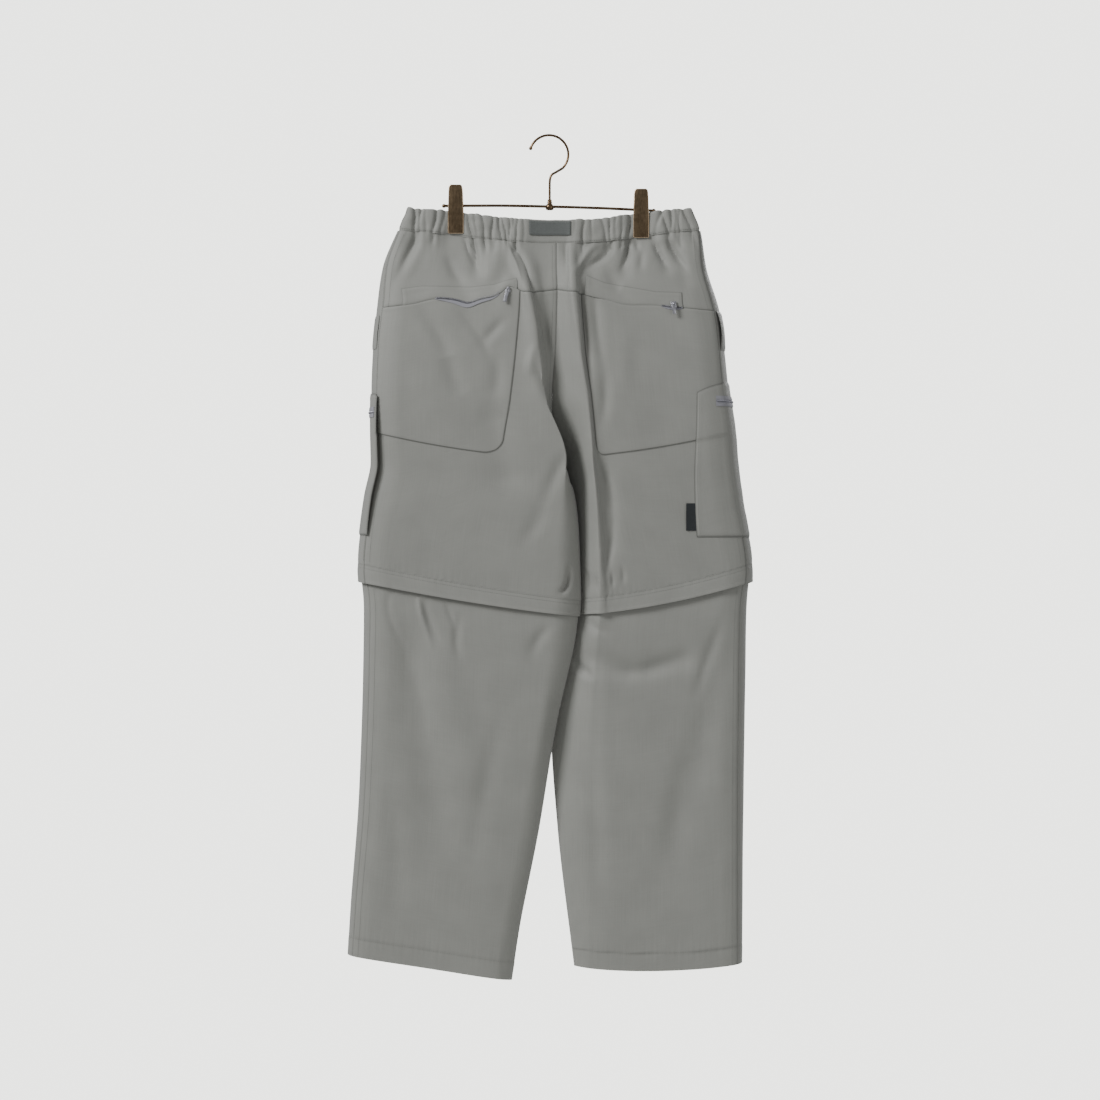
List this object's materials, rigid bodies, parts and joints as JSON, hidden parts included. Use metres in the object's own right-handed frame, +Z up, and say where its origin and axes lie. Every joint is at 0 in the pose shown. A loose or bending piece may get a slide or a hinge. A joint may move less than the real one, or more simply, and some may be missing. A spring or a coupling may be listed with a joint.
{
  "type": "convertible zip-off trousers on a clip hanger",
  "caption": "Grey zip-off hiking trousers with gathered waistband, back and cargo pockets and knee flaps, clipped by the waistband to a wire hanger.",
  "frame": {"origin": "top of the hook's inside, where the rail or peg carries the hanger", "axes": "+Z up, -Y towards the trousers' back, +X to the right as seen from behind the wearer"},
  "size_m": [0.5359, 0.0759, 1.1243],
  "materials": {
    "nylon": "matt grey woven nylon",
    "webbing": "darker ribbed webbing",
    "zip_tape": "lavender grey zip tape",
    "label": "charcoal woven tab, bare",
    "zip_metal": "enamelled lavender grey metal",
    "clip_brass": "antique brass",
    "hanger_wire": "dark antique brass wire"
  },
  "bodies": {
    "trousers": {"waistband_back": "nylon", "waistband_front": "nylon", "webbing_patch": "webbing", "yoke_left": "nylon", "yoke_right": "nylon", "back_left": "nylon", "back_right": "nylon", "front_left": "nylon", "front_right": "nylon", "back_pocket_left": "nylon", "back_pocket_right": "nylon", "back_placket_left": "nylon", "back_placket_right": "nylon", "back_zip_left": "zip_tape", "back_zip_right": "zip_tape", "hand_pocket_welt_left": "nylon", "hand_pocket_welt_right": "nylon", "cargo_pocket_left": "nylon", "cargo_pocket_right": "nylon", "cargo_zip_left": "zip_tape", "cargo_zip_right": "zip_tape", "label_tab": "label", "zip_flap_back_left": "nylon", "zip_flap_back_right": "nylon", "zip_flap_front_left": "nylon", "zip_flap_front_right": "nylon", "knee_zip_left": "zip_tape", "knee_zip_right": "zip_tape", "lower_leg_back_left": "nylon", "lower_leg_back_right": "nylon", "lower_leg_front_left": "nylon", "lower_leg_front_right": "nylon", "back_slider_left": "zip_metal", "back_slider_right": "zip_metal", "clip_jaw_back_left": "clip_brass", "clip_jaw_back_right": "clip_brass", "clip_jaw_front_left": "clip_brass", "clip_jaw_front_right": "clip_brass", "clip_spring_left": "clip_brass", "clip_spring_right": "clip_brass", "hanger_hook": "hanger_wire", "hanger_bar": "hanger_wire"},
    "pull_left": {"back_pull_left": "zip_metal"},
    "pull_right": {"back_pull_right": "zip_metal"}
  },
  "joints": [
    {"name": "pull_left_swing", "type": "hinge", "parent": "trousers", "child": "pull_left", "pos_m": [-0.05361, -0.03505, -0.20476], "axis": [-0.9692, 0.0697, 0.2364], "range_deg": [0, 150]},
    {"name": "pull_right_swing", "type": "hinge", "parent": "trousers", "child": "pull_right", "pos_m": [0.16419, -0.03555, -0.22547], "axis": [-0.9978, -0.0421, -0.0515], "range_deg": [0, 150]}
  ]
}
